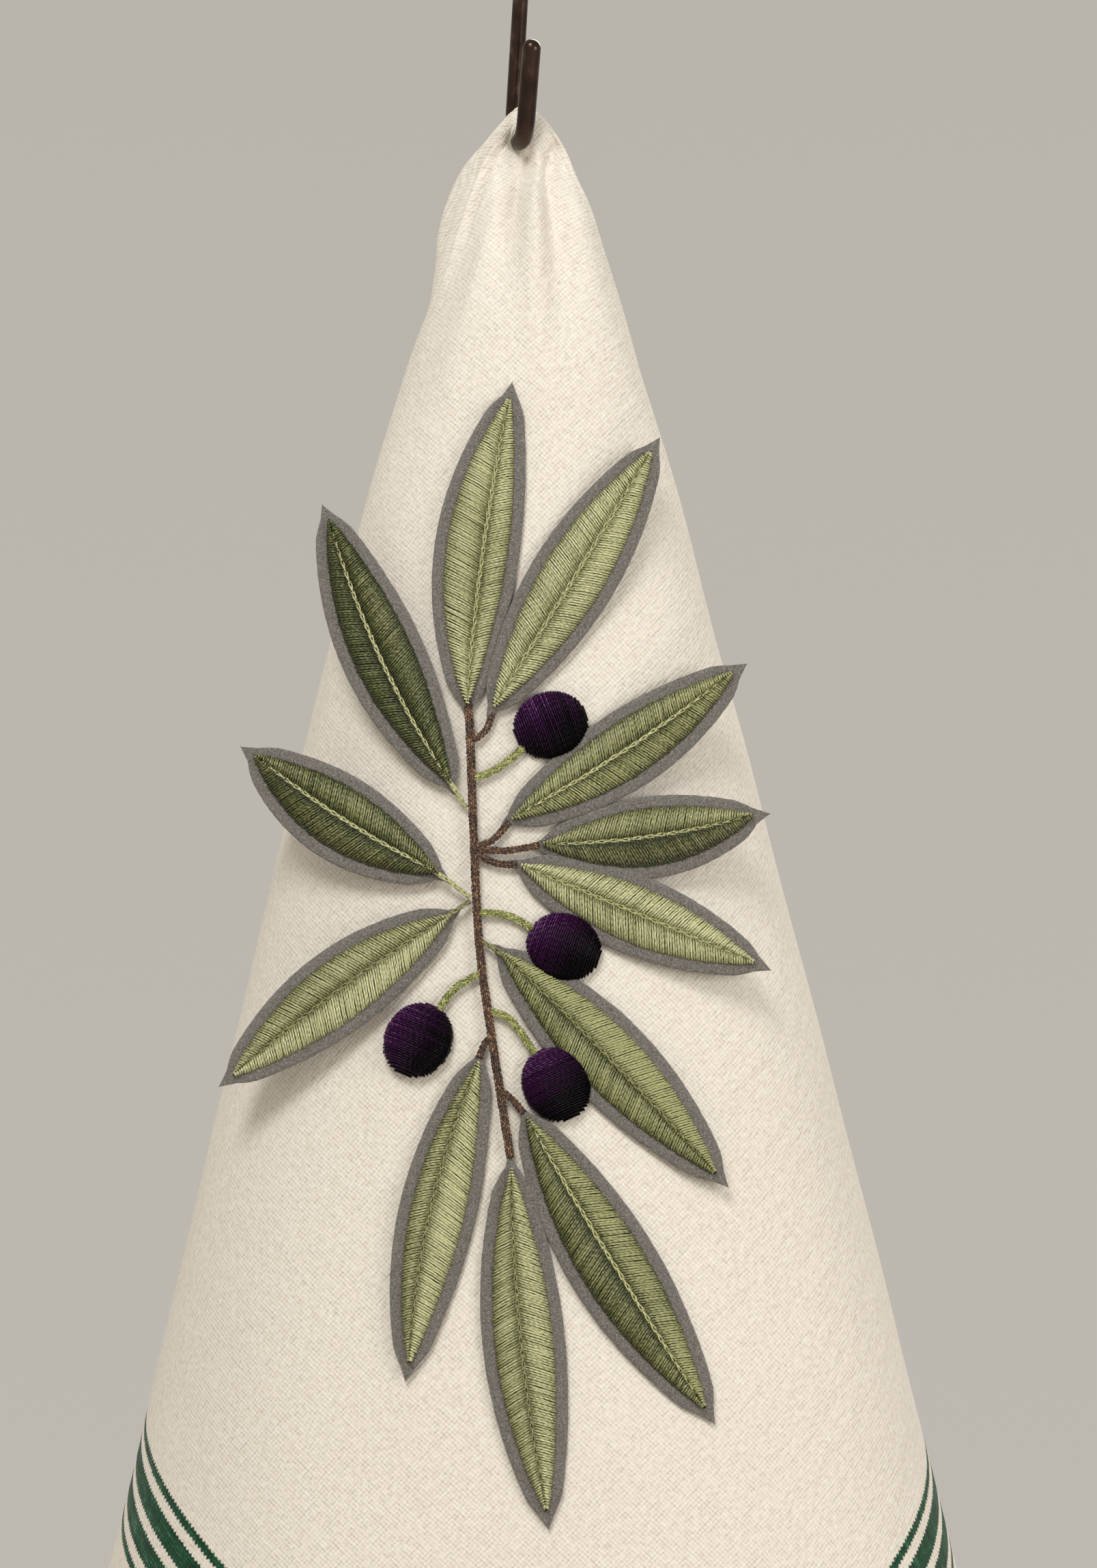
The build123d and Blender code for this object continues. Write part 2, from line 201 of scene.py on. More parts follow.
class Quads:
    """Collects grids of quads, with a UV and a tint for each, into one mesh."""

    def __init__(self):
        self.points, self.faces, self.uvs, self.tints, self.count = [], [], [], [], 0

    def sweep(self, rings, along, tint):
        """rings is (tubes, stations, points round, 3); along is each station's place in millimetres."""
        tubes, stations, around = rings.shape[:3]
        index = np.arange(tubes * stations * around).reshape(tubes, stations, around) + self.count
        k = np.arange(around)
        k2 = (k + 1) % around
        a, b = index[:, :-1][:, :, k], index[:, :-1][:, :, k2]
        c, d = index[:, 1:][:, :, k2], index[:, 1:][:, :, k]
        faces = np.stack([a, b, c, d], -1).reshape(-1, 4)
        v0 = np.broadcast_to(k / around, a.shape)
        v1 = np.broadcast_to((k + 1) / around, a.shape)
        place = np.broadcast_to(along, (tubes, stations))[:, :, None]
        u0 = np.broadcast_to(place[:, :-1], a.shape)
        u1 = np.broadcast_to(place[:, 1:], a.shape)
        uv = np.stack([np.stack(p, -1) for p in ((u0, v0), (u0, v1), (u1, v1), (u1, v0))], -2)
        self.faces.append(faces)
        self.uvs.append(uv.reshape(-1, 4, 2))
        for end, flip in ((0, True), (stations - 1, False)):
            for i in range(around // 2 - 1):
                cap = index[:, end][:, [i, i + 1, around - 2 - i, around - 1 - i]]
                self.faces.append(cap[:, ::-1] if flip else cap)
                self.uvs.append(np.zeros((tubes, 4, 2)))
        self.points.append(rings.reshape(-1, 3))
        shape = (tubes, stations, around)
        self.tints.append(np.broadcast_to(np.asarray(tint, float), shape).reshape(-1))
        self.count += tubes * stations * around

    def tubes(self, lines, wide, high, tint, sides=6, taper=0.5):
        """Round threads along lines (tubes, stations, 3) in applique space, thinner at their ends."""
        tangent = np.gradient(lines, axis=1)
        tangent /= np.linalg.norm(tangent, axis=-1, keepdims=True) + 1e-9
        side = np.cross(tangent, [0.0, 0.0, 1.0])
        side /= np.linalg.norm(side, axis=-1, keepdims=True) + 1e-9
        up = np.cross(side, tangent)
        a = 2 * np.pi * np.arange(sides) / sides
        size = np.ones(lines.shape[1])
        size[0] = size[-1] = taper
        ring = (side[:, :, None] * (np.cos(a) * wide)[None, None, :, None]
                + up[:, :, None] * (np.sin(a) * high)[None, None, :, None])
        rings = lines[:, :, None] + ring * size[None, :, None, None]
        gaps = np.linalg.norm(np.diff(lines, axis=1), axis=-1)
        along = np.concatenate([np.zeros((len(lines), 1)), np.cumsum(gaps, axis=1)], axis=1)
        start = RNG.random((len(lines), 1)) * 400
        tint = np.asarray(tint, float)
        self.sweep(rings, along + start, tint.reshape(len(lines), -1, 1))

    def mesh(self, name):
        """The collected quads as an object, laid on the towel's front."""
        points = on_front(np.concatenate(self.points))
        faces = np.concatenate(self.faces)
        data = bpy.data.meshes.new(name)
        data.from_pydata(points.tolist(), [], faces.tolist())
        data.uv_layers.new(name="flat").data.foreach_set(
            "uv", np.concatenate(self.uvs).astype(np.float32).ravel())
        data.attributes.new("tint", "FLOAT", "POINT").data.foreach_set(
            "value", np.concatenate(self.tints).astype(np.float32))
        data.polygons.foreach_set("use_smooth", np.ones(len(faces), bool))
        data.update()
        obj = bpy.data.objects.new(name, data)
        bpy.context.scene.collection.objects.link(obj)
        return obj


def finish_piece(obj, material, slot, *nodes):
    """The piece rides with the towel and stands for its CAD nodes."""
    obj.data.materials.append(material)
    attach(obj, "towel")
    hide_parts(*nodes)
    return obj


# ---- materials ---------------------------------------------------------------------------------
class Shader:
    """A node material, written as short expressions of sockets and numbers."""

    def __init__(self, name, roughness, **sockets):
        self.material = bpy.data.materials.new(name)
        self.material.use_nodes = True
        self.tree = self.material.node_tree
        self.shader = self.tree.nodes["Principled BSDF"]
        self.shader.inputs["Roughness"].default_value = roughness
        for key, value in sockets.items():
            self.shader.inputs[key.replace("_", " ")].default_value = value

    def put(self, socket, value):
        """Links a socket, or sets its value; None leaves it alone."""
        if isinstance(value, bpy.types.NodeSocket):
            self.tree.links.new(value, socket)
        elif value is not None:
            socket.default_value = value

    def math(self, kind, a, b=None, c=None):
        node = self.tree.nodes.new("ShaderNodeMath")
        node.operation = kind
        for socket, value in zip(node.inputs, (a, b, c)):
            self.put(socket, value)
        return node.outputs[0]

    def wave(self, value, period):
        """-1 to 1 along value, which repeats every period."""
        return self.math("SINE", self.math("MULTIPLY", value, 2 * math.pi / period))

    def noise(self, scale, detail=2.0, vector=None, rough=0.5, stretch=None):
        """0 to 1; in the object's own space unless a vector is given."""
        if vector is None:
            vector = self.tree.nodes.new("ShaderNodeTexCoord").outputs["Object"]
        if stretch:
            node = self.tree.nodes.new("ShaderNodeMapping")
            node.inputs["Scale"].default_value = stretch
            self.put(node.inputs["Vector"], vector)
            vector = node.outputs[0]
        node = self.tree.nodes.new("ShaderNodeTexNoise")
        self.put(node.inputs["Vector"], vector)
        node.inputs["Scale"].default_value = scale
        node.inputs["Detail"].default_value = detail
        node.inputs["Roughness"].default_value = rough
        return node.outputs["Fac"]

    def ramp(self, factor, *stops):
        """A colour from stops of (position, linear colour)."""
        node = self.tree.nodes.new("ShaderNodeValToRGB")
        self.put(node.inputs[0], factor)
        elements = node.color_ramp.elements
        while len(elements) < len(stops):
            elements.new(0.5)
        for element, (position, colour) in zip(elements, stops):
            element.position, element.color = position, (*colour, 1)
        return node.outputs["Color"]

    def mix(self, factor, a, b):
        """Colour a where the factor is 0, and b where it is 1."""
        node = self.tree.nodes.new("ShaderNodeMix")
        node.data_type = "RGBA"
        for name, value in (("Factor_Float", factor), ("A_Color", a), ("B_Color", b)):
            self.put(next(s for s in node.inputs if s.identifier == name), value)
        return next(s for s in node.outputs if s.identifier == "Result_Color")

    def uv(self):
        """The flat UV map: as a vector, along it and across it."""
        node = self.tree.nodes.new("ShaderNodeUVMap")
        node.uv_map = "flat"
        parts = self.tree.nodes.new("ShaderNodeSeparateXYZ")
        self.tree.links.new(node.outputs[0], parts.inputs[0])
        return node.outputs[0], parts.outputs[0], parts.outputs[1]

    def tint(self):
        """The shade that each thread was given: its own tone, with painted light and shade added."""
        node = self.tree.nodes.new("ShaderNodeAttribute")
        node.attribute_name = "tint"
        return node.outputs["Fac"]

    def end(self, colour, height=None, roughness=None):
        """height is in metres."""
        self.put(self.shader.inputs["Base Color"], colour)
        self.put(self.shader.inputs["Roughness"], roughness)
        if height is not None:
            bump = self.tree.nodes.new("ShaderNodeBump")
            bump.inputs["Distance"].default_value = 1.0
            self.put(bump.inputs["Height"], height)
            self.tree.links.new(bump.outputs[0], self.shader.inputs["Normal"])
        return self.material


def linear(r, g, b):
    """A colour given as sRGB 0 to 255."""
    return tuple(((c / 255 + 0.055) / 1.055) ** 2.4 if c > 10 else c / 255 / 12.92
                 for c in (r, g, b))


def cotton():
    """Cream weave with the green stripes woven in, crossing where they meet, and a sewn hem."""
    s = Shader("towel_cotton", 0.92, Sheen_Weight=0.12, Sheen_Roughness=0.5,
               Specular_IOR_Level=0.2)
    uv, u, v = s.uv()
    fuzz = s.math("MULTIPLY", s.math("SUBTRACT", s.noise(900, 2), 0.5), 0.0009)
    bands = []
    for along, across in ((u, v), (v, u)):
        serrate = s.math("MULTIPLY", s.wave(along, 1.5 * WEAVE), 0.00026)
        edge = s.math("MINIMUM", across, s.math("SUBTRACT", SIDE * MM, across))
        edge = s.math("ADD", s.math("ADD", edge, serrate), fuzz)
        stops = [(0.0, 0)]
        for low, high in STRIPES:
            stops += [(low - STRIPE_BLUR, 0), (low + STRIPE_BLUR, 1),
                      (high - STRIPE_BLUR, 1), (high + STRIPE_BLUR, 0)]
        stops = [(place / STRIPE_BAND, (c, c, c)) for place, c in stops]
        bands.append(s.ramp(s.math("DIVIDE", edge, STRIPE_BAND), *stops))
    # a small bird's eye along both thread directions, made uneven by its yarns
    weave = s.math("MULTIPLY", s.math("ADD", s.wave(u, WEAVE), s.wave(v, WEAVE)), 0.27)
    fine = s.math("MULTIPLY", s.wave(u, WEAVE / 2), s.wave(v, WEAVE / 2))
    weave = s.math("MULTIPLY_ADD", fine, 0.22, weave)
    for share, stretch in ((1.8, (1300, 480, 1)), (2.1, (480, 1300, 1))):
        yarn = s.noise(1.0, 2, vector=uv, stretch=stretch)
        weave = s.math("MULTIPLY_ADD", s.math("SUBTRACT", yarn, 0.5), share, weave)
    slub = s.noise(1.0, 3, vector=uv, stretch=(420, 90, 1))
    broad = s.noise(14, 3)
    crinkle = s.noise(1.0, 4, vector=uv, rough=0.62, stretch=(70, 190, 1))
    light = s.math("ADD", s.math("MULTIPLY", weave, 0.19), s.math("MULTIPLY", slub, 0.10))
    light = s.math("ADD", light, s.math("MULTIPLY", broad, 0.06))
    white = s.ramp(s.math("ADD", light, 0.40), (0.15, linear(190, 183, 168)),
                   (0.50, linear(235, 229, 219)), (0.75, linear(250, 247, 241)))
    green = s.ramp(s.math("ADD", s.math("MULTIPLY", weave, 0.22), slub),
                   (0.25, linear(2, 40, 24)), (0.60, linear(16, 76, 50)),
                   (0.88, linear(84, 134, 108)))
    colour = s.mix(bands[0], white, green)
    colour = s.mix(bands[1], colour, green)
    hem = s.math("MINIMUM", s.math("MINIMUM", u, s.math("SUBTRACT", SIDE * MM, u)),
                 s.math("MINIMUM", v, s.math("SUBTRACT", SIDE * MM, v)))
    line = s.ramp(s.math("DIVIDE", hem, HEM), (0.0, (0, 0, 0)), (0.44, (0, 0, 0)),
                  (0.47, (1, 1, 1)), (0.50, (0, 0, 0)))
    height = s.math("MULTIPLY", weave, 0.00010)
    height = s.math("ADD", height, s.math("MULTIPLY", slub, 0.00011))
    height = s.math("ADD", height, s.math("MULTIPLY", crinkle, 0.0011))
    height = s.math("SUBTRACT", height, s.math("MULTIPLY", line, 0.0004))
    return s.end(colour, height)


def felt():
    """Matted grey fibres."""
    s = Shader("felt_grey", 0.96, Sheen_Weight=0.35, Sheen_Roughness=0.6, Specular_IOR_Level=0.1)
    fibres = s.noise(5200, 3, rough=0.75)
    clumps = s.noise(1900, 3, rough=0.65)
    mix = s.math("ADD", s.math("MULTIPLY", fibres, 0.6), s.math("MULTIPLY", clumps, 0.4))
    colour = s.ramp(mix, (0.38, linear(66, 64, 61)), (0.50, linear(114, 111, 106)),
                    (0.62, linear(166, 162, 155)))
    height = s.math("ADD", s.math("MULTIPLY", fibres, 0.00030), s.math("MULTIPLY", clumps, 0.00035))
    return s.end(colour, height)


def thread(name, dark, middle, light, roughness=0.36, sheen=0.05, specular=0.6):
    """Twisted glossy embroidery thread; the tint is each thread's shade, its own tone with painted
    light and shade in it. The colour also has painted shade down each thread's sides and in the grooves
    between its plies.
    """
    s = Shader(name, roughness, Specular_IOR_Level=specular, Sheen_Weight=sheen)
    uv, along, around = s.uv()
    twist = s.math("MULTIPLY_ADD", around, 2.0, s.math("DIVIDE", along, THREAD_PLY))
    strand = s.math("SINE", s.math("MULTIPLY", twist, 2 * math.pi))
    streak = s.noise(1.0, 3, vector=uv, rough=0.6, stretch=(0.75, 3.2, 1.0))
    fleck = s.noise(1300, 2)
    # painted shade: darker in the grooves between the plies, and darker down the thread's sides (crown
    # below 1) where its neighbours shade it
    crown = s.math("SINE", s.math("MULTIPLY", around, 2 * math.pi))
    shade = s.math("ADD", s.math("MULTIPLY", strand, 0.07), s.tint())
    shade = s.math("ADD", shade, s.math("MULTIPLY", s.math("SUBTRACT", crown, 1.0), 0.30))
    shade = s.math("ADD", shade, s.math("MULTIPLY", s.math("SUBTRACT", streak, 0.5), 0.62))
    shade = s.math("ADD", shade, s.math("MULTIPLY", s.math("SUBTRACT", fleck, 0.5), 0.25))
    colour = s.ramp(shade, (0.12, dark), (0.5, middle), (0.88, light))
    height = s.math("ADD", s.math("MULTIPLY", strand, 0.000035),
                    s.math("MULTIPLY", streak, 0.00010))
    return s.end(colour, height)


def bronze():
    """Dark brown metal with worn lighter patches."""
    s = Shader("hook_metal", 0.3, Metallic=0.85)
    wear, grain = s.noise(160, 4), s.noise(900, 2)
    colour = s.ramp(wear, (0.30, linear(50, 38, 34)), (0.60, linear(70, 55, 48)),
                    (0.82, linear(112, 92, 80)))
    rough = s.math("MULTIPLY_ADD", s.noise(220, 3), 0.14, 0.20)
    return s.end(colour, s.math("MULTIPLY", grain, 0.00003), rough)


COTTON, FELT_GREY, BRONZE = cotton(), felt(), bronze()
SAGE = thread("thread_sage", linear(52, 56, 22), linear(150, 154, 104), linear(226, 228, 180))
DARK_GREEN = thread("thread_dark_green", linear(14, 18, 2), linear(82, 88, 38),
                    linear(182, 186, 132))
MIDRIB = thread("thread_midrib", linear(60, 64, 24), linear(158, 160, 108), linear(222, 222, 172))
STALK = thread("thread_stalk", linear(62, 68, 14), linear(150, 156, 88), linear(216, 220, 156))
PURPLE = thread("thread_purple", linear(1, 0, 2), linear(50, 13, 56), linear(140, 88, 150),
                roughness=0.34, sheen=0.0, specular=0.10)
BROWN = thread("thread_brown", linear(18, 8, 3), linear(74, 45, 24), linear(186, 138, 92))


# ---- the towel ---------------------------------------------------------------------------------
WIDE, DEEP = smooth_table(WIDTH), smooth_table(DEPTH)
ACROSS, LOBE_OUT = smooth_table(MIDDLE), smooth_table(LOBE)


def half_width(drop):
    return np.interp(drop, *WIDE)


def half_depth(drop):
    return np.interp(drop, *DEEP)


def centre_x(drop):
    return np.interp(drop, *ACROSS)


def usual_drop(radii):
    """Roughly how far below the seat cloth hangs at these distances from the hung point."""
    return radii * 0.94 - APEX


def section_tables(radii, fractions):
    """For each distance from the hung point: the section's half perimeter, and its angle by
    the share of that perimeter from the front's middle."""
    drops = usual_drop(radii)
    a = np.linspace(0, np.pi, 241)
    s, c = np.sin(a), np.cos(a)
    x = half_width(drops)[:, None] * np.abs(s) ** (2 / POWER)
    y = half_depth(drops)[:, None] * np.sign(c) * np.abs(c) ** (2 / POWER)
    length = np.concatenate(
        [np.zeros((len(radii), 1)), np.cumsum(np.hypot(np.diff(x), np.diff(y)), axis=1)], axis=1)
    angle = np.stack([np.interp(fractions, row / max(row[-1], 1e-6), a) for row in length])
    return length[:, -1], angle


def fold_tables(radii, shares, half, first):
    """Where cloth lies round the section: on its outside to the middle of the back, then folded
    inwards and back. Gives the share of the half perimeter and how far inside the outside it is."""
    whole = np.pi * radii
    spare = np.maximum(whole - half, 0) / 2
    first = np.minimum(first, np.minimum(spare, DEEPEST_FOLD))
    second = spare - first
    # the length over which each fold turns back on itself
    gap = np.clip(0.2 * half_depth(usual_drop(radii)), 0.15, 8) / np.pi
    gap = np.minimum(gap, 0.12 * np.maximum(spare, 0.5))
    turns = [half, half + first, half + 2 * first, half + 2 * first + second]
    s = shares[None, :] * whole[:, None]
    sigma = np.ones_like(s)
    for turn in turns:
        sigma *= np.tanh((turn[:, None] - s) / gap[:, None])
    ds = np.diff(s, axis=1)
    mid = (sigma[:, 1:] + sigma[:, :-1]) / 2
    zero = np.zeros((len(radii), 1))
    along = np.concatenate([zero, np.cumsum(mid * ds, axis=1)], axis=1)
    inside = np.concatenate([zero, np.cumsum(np.sqrt(1 - mid**2) * ds, axis=1)], axis=1)
    return along / np.maximum(along[:, -1:], 1e-6), inside


def look_up(table, radii, r, c):
    """Bilinear value of a table whose rows are radii and whose columns run evenly from 0 to 1."""
    columns = table.shape[1]
    i = np.clip(np.searchsorted(radii, r) - 1, 0, len(radii) - 2)
    t = np.clip((r - radii[i]) / (radii[i + 1] - radii[i]), 0, 1)
    at = np.clip(c, 0, 1) * (columns - 1)
    j = np.clip(at.astype(int), 0, columns - 2)
    q = at - j
    low = table[i, j] * (1 - q) + table[i, j + 1] * q
    high = table[i + 1, j] * (1 - q) + table[i + 1, j + 1] * q
    return low * (1 - t) + high * t


# folds at the shoulders: height, place round the section from -1 to 1, width, and the drops
# between which each one comes and goes
SHOULDER_FOLDS = (
    (-5.4, -0.442, 0.032, (-3, 2, 36, 54)),      # the crease beside the lobe
    (2.0, -0.376, 0.030, (-3, 2, 36, 54)),       # the ridge in front of the crease
    (-1.3, -0.335, 0.020, (-2, 3, 20, 34)),
    (-0.9, -0.54, 0.016, (2, 8, 26, 44)),
    (-1.6, 0.40, 0.024, (-3, 2, 12, 26)),
)


def wrinkles(q, drop, r, phi):
    """How far the cloth stands out from the plain section; q is -1 to 1 round it."""
    deg = np.degrees(phi)
    lobe = np.interp(drop, *LOBE_OUT)
    # the lobe behind the left front fold
    out = 1.35 * lobe * step_up(-q, 0.44, 0.62) * (1 - step_up(-q, 0.74, 0.96))
    for height, place, width, fade in SHOULDER_FOLDS:
        out += height * hump(drop, *fade) * bell(q, place, width)
    # folds that run down from the hook: height, place in degrees, width, and the distances
    # from the hung point between which each one comes and goes
    left, right = -(5.4 + 175 / np.maximum(r, 8)), 3.4 + 370 / np.maximum(r, 14)
    spread = 3.2 + 140 / np.maximum(r, 9)
    hook_folds = (
        (-6.2, left, spread, (7, 13, 30, 68)),
        (-5.4, right, spread * 1.1, (10, 18, 34, 84)),
        (2.2, 3, 5, (18, 28, 50, 105)),
        (-6.0, -1, 8, (11, 16, 20, 30)),         # the pocket under the hook's bend
        (-1.2, -24, 5, (20, 40, 70, 120)),
        (-0.9, 33, 5, (30, 60, 110, 190)),
    )
    for height, place, width, fade in hook_folds:
        out += height * bell(deg, place, width) * hump(r, *fade)
    # waves along the lower edge and down the sides, and a slight unevenness
    low = step_up(r, 380, 520)
    out += low * (1.3 * np.sin(np.radians(deg * 13) + 1.1) + 0.8 * np.sin(np.radians(deg * 29)))
    sides = step_up(np.abs(deg), 24, 40) * step_up(r, 60, 160)
    out += sides * (2.8 * np.sin(np.radians(deg * 17) + r / 70) + 1.2 * np.sin(r / 29 + deg / 7))
    out += 2.2 * sides * step_up(r, 120, 330) * np.sin(deg * 0.21 + np.sin(r / 90))
    uneven = np.sin(deg / 2.3 + r / 31) * np.sin(r / 17 - deg / 4.1)
    return out + 0.22 * uneven * step_up(r, 20, 60)


def centred(angle):
    """The same angle, between -pi and pi."""
    return (angle + np.pi) % (2 * np.pi) - np.pi


def reach(phi):
    """From the hung point to the square's edge, by the angle from its long diagonal."""
    angle = np.pi / 4 + np.abs(phi)
    far = np.minimum(REACH / np.maximum(np.sin(angle), 1e-6),
                     INSET / np.maximum(-np.cos(angle), 1e-6))
    near = INSET / np.maximum(np.abs(np.cos(angle)), np.abs(np.sin(angle)))
    return np.where(angle > np.pi, near, far)


def hang(r, sx, sy):
    """The drop at which the section's point towards (sx, sy) is r from the hung point, found by
    halving the range."""
    low, high = np.full(r.shape, -APEX), np.full(r.shape, LOWEST)
    for _ in range(34):
        drop = (low + high) / 2
        wide, deep = half_width(drop), half_depth(drop)
        far = (wide * sx) ** 2 + (deep * sy) ** 2 + (drop + APEX) ** 2 > r * r
        low, high = np.where(far, low, drop), np.where(far, drop, high)
    return (low + high) / 2


def draped(r, phi):
    """Where points of the flat square hang, in millimetres."""
    turned = centred(phi + LEAN * step_up(r, *LEAN_STARTS))
    radii = np.concatenate([np.linspace(0.5, 60, 90), np.linspace(62, 600, 150)])
    shares = np.linspace(0, 1, 600)
    half, angles = section_tables(radii, np.linspace(0, 1, 300))
    left, right = (fold_tables(radii, shares, half, part * radii + more)
                   for part, more in (LEFT_FOLD, RIGHT_FOLD))
    share = np.abs(turned) / np.pi
    along, inside = (
        np.where(turned < 0, look_up(a, radii, r, share), look_up(b, radii, r, share))
        for a, b in zip(left, right))
    along = np.clip(along, 0, 1)
    angle = look_up(angles, radii, r, along)
    sign = np.where(turned < 0, -1.0, 1.0)
    sx = sign * np.abs(np.sin(angle)) ** (2 / POWER)
    sy = -np.sign(np.cos(angle)) * np.abs(np.cos(angle)) ** (2 / POWER)
    drop = hang(r, sx, sy)
    wide, deep = half_width(drop), half_depth(drop)
    nx, ny = sx * deep, sy * wide
    size = np.hypot(nx, ny) + 1e-6
    nx, ny = nx / size, ny / size
    # near the top, inner layers lie deeper and lower, so that none shows through the outside
    inside = inside * (1 + 2.2 * np.abs(nx) * (1 - step_up(drop, 4, 20)))
    sink = 0.8 * np.minimum(inside, 4) * (1 - step_up(drop, 2, 16))
    out = wrinkles(sign * along, drop, r, phi) * step_up(inside, 6, 0.5) - inside
    x = centre_x(drop) + wide * sx + nx * out
    y = deep * sy + ny * out
    return np.stack([x, y, SEAT_Z - drop - sink], -1)


def thicken(obj, flat):
    """Gives the cloth a thickness, which is more where the hem is folded over."""
    inset = np.minimum(np.minimum(flat[:, 0], SIDE * MM - flat[:, 0]),
                       np.minimum(flat[:, 1], SIDE * MM - flat[:, 1]))
    group = obj.vertex_groups.new(name="thick")
    weights = CLOTH_SHARE + (1 - CLOTH_SHARE) * (1 - step_up(inset, *HEM_FOLD))
    for value in np.unique(np.round(weights, 2)):
        group.add(np.flatnonzero(np.round(weights, 2) == value).tolist(), float(value), "REPLACE")
    solid = obj.modifiers.new("cloth", "SOLIDIFY")
    solid.thickness, solid.offset = CLOTH * MM, -1
    solid.vertex_group = "thick"


def towel():
    """One square of cloth, in rings round the hung point; fine columns in front, coarse behind."""
    front = np.arange(-FRONT_ARC, FRONT_ARC, 0.7)
    back = np.linspace(FRONT_ARC, 360 - FRONT_ARC, 123)[:-1]
    columns = np.radians(np.concatenate([front, back]))
    rows = (np.arange(1, ROWS + 1) / ROWS) ** ROW_CROWDING
    r = rows[:, None] * reach(centred(columns))[None, :]
    phi = np.broadcast_to(centred(columns), r.shape)
    points = draped(r, phi)
    top = np.array([[centre_x(-APEX), 0.0, SEAT_Z + APEX]])
    n_rows, n_cols = r.shape
    index = np.arange(n_rows * n_cols).reshape(n_rows, n_cols) + 1
    nxt = np.roll(index, -1, axis=1)
    faces = np.stack([index[:-1], index[1:], nxt[1:], nxt[:-1]], -1).reshape(-1, 4).tolist()
    faces += [[0, int(a), int(b)] for a, b in zip(index[0], nxt[0])]
    data = bpy.data.meshes.new("towel_weave")
    data.from_pydata((np.concatenate([top, points.reshape(-1, 3)]) * MM).tolist(), [], faces)
    flat = np.stack([INSET + r * np.cos(np.pi / 4 + phi), INSET + r * np.sin(np.pi / 4 + phi)], -1)
    flat = np.concatenate([[[INSET, INSET]], flat.reshape(-1, 2)]) * MM
    corners = np.zeros(len(data.loops), np.int32)
    data.loops.foreach_get("vertex_index", corners)
    data.uv_layers.new(name="flat").data.foreach_set("uv", flat[corners].astype(np.float32).ravel())
    data.polygons.foreach_set("use_smooth", np.ones(len(faces), bool))
    data.update()
    obj = bpy.data.objects.new("towel_weave", data)
    bpy.context.scene.collection.objects.link(obj)
    thicken(obj, flat)
    finish_piece(obj, COTTON, "towel_cotton", "towel_cloth")
    return obj


# ---- leaves ------------------------------------------------------------------------------------
def leaf_frame(number):
    """A leaf's base, its way to the tip, the direction to its right, and its length."""
    (bu, bw), (tu, tw) = LEAVES[number][:2]
    base, along = np.array([bu, -bw], float), np.array([tu - bu, bw - tw], float)
    length = np.hypot(*along)
    across = np.array([along[1], -along[0]]) / length
    return base, along, across, length


def bend(number, f, side=0.0):
    """Points on a leaf: f from base to tip along its curved middle, side to its right."""
    base, along, across, _ = leaf_frame(number)
    bulge = LEAVES[number][4]
    f, side = np.broadcast_arrays(np.asarray(f, float), np.asarray(side, float))
    g = np.clip(f, 0, 1)
    middle = base + along * f[..., None] + across * (bulge * 4 * g * (1 - g))[..., None]
    slope = along + across * (bulge * 4 * (1 - 2 * g))[..., None]
    out = np.stack([slope[..., 1], -slope[..., 0]], -1)
    out /= np.linalg.norm(out, axis=-1, keepdims=True)
    return middle + out * side[..., None]


def face_half(number, f, sign):
    """The satin face's half width on one side."""
    half = LEAVES[number][2 if sign < 0 else 3]
    return half * np.sin(np.pi * np.clip(f, 0, 1)) ** 0.8


def leaf_base_height(number):
    """How high the leaf's felt starts, so that leaves that cross don't share a level."""
    return FELT_STEP * FELT_ORDER.index(number)


def felt_leaf(number):
    """A flat felt shape with a rounded rim, wider than the satin by a margin and with a long tip."""
    length = leaf_frame(number)[3]
    g = (1 - np.cos(np.linspace(0, np.pi, 96))) / 2
    f = -FELT_MARGIN / length + g * (1 + (FELT_MARGIN + FELT_TIP) / length)
    ends = np.clip((f * length + FELT_MARGIN) / 9, 0, 1) ** 0.62
    ends *= np.interp((1 - f) * length + FELT_TIP, (0, FELT_TIP, 8.5), (0, 0.75, 1))
    sides = []
    for sign in (-1, 1):
        fray = 0.035 * RNG.standard_normal(len(f))
        sides.append(np.maximum(face_half(number, f, sign) + (FELT_MARGIN + fray) * ends, 0.12))
    # a flat ring with a rounded rim, from the left edge over the top to the right and back
    a = np.linspace(np.pi, -np.pi, 18, endpoint=False)
    ax = np.sign(np.cos(a)) * np.abs(np.cos(a)) ** 0.5
    az = np.sign(np.sin(a)) * np.abs(np.sin(a)) ** 0.5
    side = np.where(ax < 0, ax * sides[0][:, None], ax * sides[1][:, None])
    flat = bend(number, np.broadcast_to(f[:, None], side.shape), side)
    thick = FELT * (0.35 + 0.65 * ends)
    height = leaf_base_height(number) + FELT / 2 + az * thick[:, None] / 2
    height = height + np.where(az > 0, 0.03 * RNG.standard_normal(height.shape), 0)
    rings = np.concatenate([flat, height[..., None]], -1)[None]
    quads = Quads()
    quads.sweep(rings, f * length, 0.5)
    obj = quads.mesh(f"felt_leaf_{number:02d}")
    finish_piece(obj, FELT_GREY, "felt_grey", f"leaf_backing_{number:02d}")
    return obj


def satin_height(t):
    """Height of the satin over the felt, from the midrib (0) to the edge (1)."""
    dome = 0.48 + 0.52 * np.sin(np.pi * np.minimum(t * 1.08, 1)) ** 0.8
    return SATIN_RISE * (1 - t**4) ** 0.6 * dome


# places along a satin thread, from the midrib (0) to the leaf's edge (1), and the painted shade there:
# darker in the valley by the midrib and where the thread dives at the edge, lighter over the dome
THREAD_PLACES = np.array([0, 0.12, 0.3, 0.5, 0.7, 0.86, 0.96, 1.0])
PAINTED_SHADE_ALONG = np.array([-0.38, -0.17, 0.05, 0.12, 0.09, -0.01, -0.16, -0.30])


